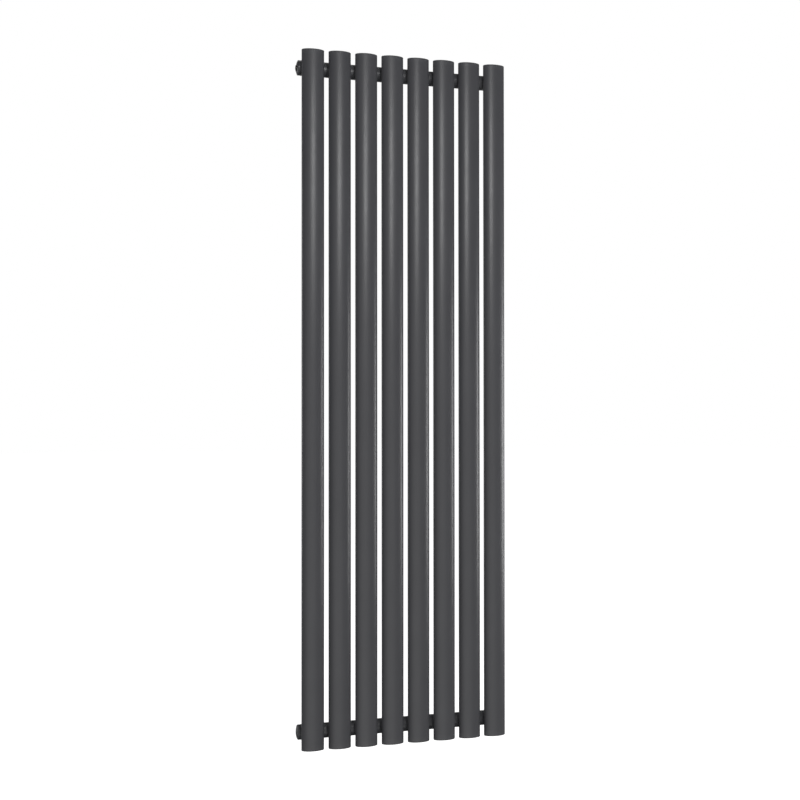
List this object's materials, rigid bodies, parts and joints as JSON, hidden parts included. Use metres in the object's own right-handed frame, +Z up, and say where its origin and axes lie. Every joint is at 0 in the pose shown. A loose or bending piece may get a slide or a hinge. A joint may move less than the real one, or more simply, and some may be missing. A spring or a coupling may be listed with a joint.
{
  "type": "column radiator",
  "caption": "Tall wall-hung radiator of upright oval tubes on round top and bottom headers, with plugged header ends, an air-bleed valve and wall sleeves.",
  "frame": {"origin": "on the wall's face, in the middle of the four wall sleeves", "axes": "+X to the right as seen from the room, +Y into the wall, +Z up; the front faces -Y"},
  "size_m": [0.4767, 0.0913, 1.5],
  "materials": {
    "powder_coat": "satin anthracite powder coat on steel",
    "black_rubber": "moulded seal rubber",
    "black_plastic": "moulded plastic",
    "nickel_plate": "nickel-plated brass",
    "zinc_steel": "zinc-plated steel"
  },
  "bodies": {
    "radiator": {"bottom_cap_1": "powder_coat", "bottom_cap_2": "powder_coat", "bottom_cap_3": "powder_coat", "bottom_cap_4": "powder_coat", "bottom_cap_5": "powder_coat", "bottom_cap_6": "powder_coat", "bottom_cap_7": "powder_coat", "bottom_cap_8": "powder_coat", "bottom_header": "powder_coat", "bottom_left_grub_screw": "zinc_steel", "bottom_left_pin": "powder_coat", "bottom_left_plug": "powder_coat", "bottom_left_seal": "black_rubber", "bottom_left_socket": "powder_coat", "bottom_left_wall_sleeve": "powder_coat", "bottom_right_grub_screw": "zinc_steel", "bottom_right_pin": "powder_coat", "bottom_right_plug": "powder_coat", "bottom_right_seal": "black_rubber", "bottom_right_socket": "powder_coat", "bottom_right_wall_sleeve": "powder_coat", "top_cap_1": "powder_coat", "top_cap_2": "powder_coat", "top_cap_3": "powder_coat", "top_cap_4": "powder_coat", "top_cap_5": "powder_coat", "top_cap_6": "powder_coat", "top_cap_7": "powder_coat", "top_cap_8": "powder_coat", "top_header": "powder_coat", "top_left_grub_screw": "zinc_steel", "top_left_pin": "powder_coat", "top_left_seal": "black_rubber", "top_left_socket": "powder_coat", "top_left_wall_sleeve": "powder_coat", "top_right_grub_screw": "zinc_steel", "top_right_pin": "powder_coat", "top_right_plug": "powder_coat", "top_right_seal": "black_rubber", "top_right_socket": "powder_coat", "top_right_wall_sleeve": "powder_coat", "tube_1": "powder_coat", "tube_2": "powder_coat", "tube_3": "powder_coat", "tube_4": "powder_coat", "tube_5": "powder_coat", "tube_6": "powder_coat", "tube_7": "powder_coat", "tube_8": "powder_coat", "vent_body": "powder_coat"},
    "vent_spout": {"vent_spout": "black_plastic"},
    "vent_screw": {"vent_screw": "nickel_plate"}
  },
  "joints": [
    {"name": "vent_spout_turn", "type": "hinge", "parent": "radiator", "child": "vent_spout", "pos_m": [-0.2346, -0.05, 0.718], "axis": [-1, 0, 0], "continuous": true},
    {"name": "vent_screw_turn", "type": "hinge", "parent": "radiator", "child": "vent_screw", "pos_m": [-0.2346, -0.05, 0.718], "axis": [-1, 0, 0], "range_deg": [0, 270]}
  ]
}
